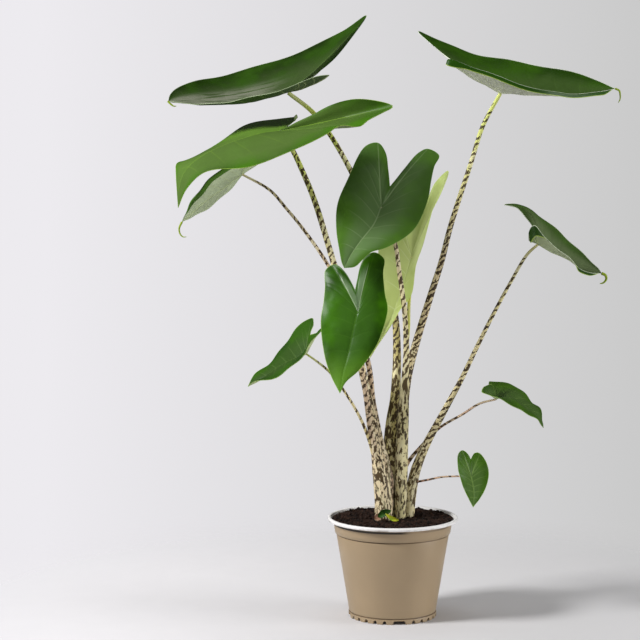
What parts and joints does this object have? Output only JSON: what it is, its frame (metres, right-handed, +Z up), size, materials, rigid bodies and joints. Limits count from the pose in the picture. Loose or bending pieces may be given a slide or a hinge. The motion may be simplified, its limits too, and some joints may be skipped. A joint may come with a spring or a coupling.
{
  "type": "potted plant",
  "caption": "Potted alocasia with arrow-shaped green leaves on banded upright petioles, in a tapered nursery pot with a rolled rim.",
  "frame": {"origin": "on the pot's axis, at the plane that the foot rests on", "axes": "+Z up along the pot's axis; +X to the right and +Y away, seen from the front"},
  "size_m": [0.484, 0.2533, 0.6489],
  "materials": {
    "pot": "taupe moulded plastic, satin, white rolled rim",
    "soil": "dark crumbly potting mix, matte",
    "petiole": "cream to yellow-green skin with irregular dark brown bands",
    "leaf_green": "smooth waxy green leaf with pale veins",
    "leaf_pale": "thin pale yellow-green young leaf",
    "sprout": "young green leaf, waxy"
  },
  "bodies": {
    "root": {"pot": "pot", "soil": "soil", "shoot_left": "petiole", "shoot_middle": "petiole", "shoot_right": "petiole", "leaf_upper_left": "leaf_green", "leaf_left_drooping": "leaf_green", "leaf_left_small": "leaf_green", "leaf_upper_right": "leaf_green", "leaf_right_folded": "leaf_green", "leaf_lower_right": "leaf_green", "leaf_small_heart": "leaf_green", "leaf_lower_left": "leaf_green", "leaf_middle_heart": "leaf_green", "leaf_lower_heart": "leaf_green", "leaf_pale_young": "leaf_pale", "sprout_dark": "sprout", "sprout_light": "sprout"}
  },
  "joints": []
}
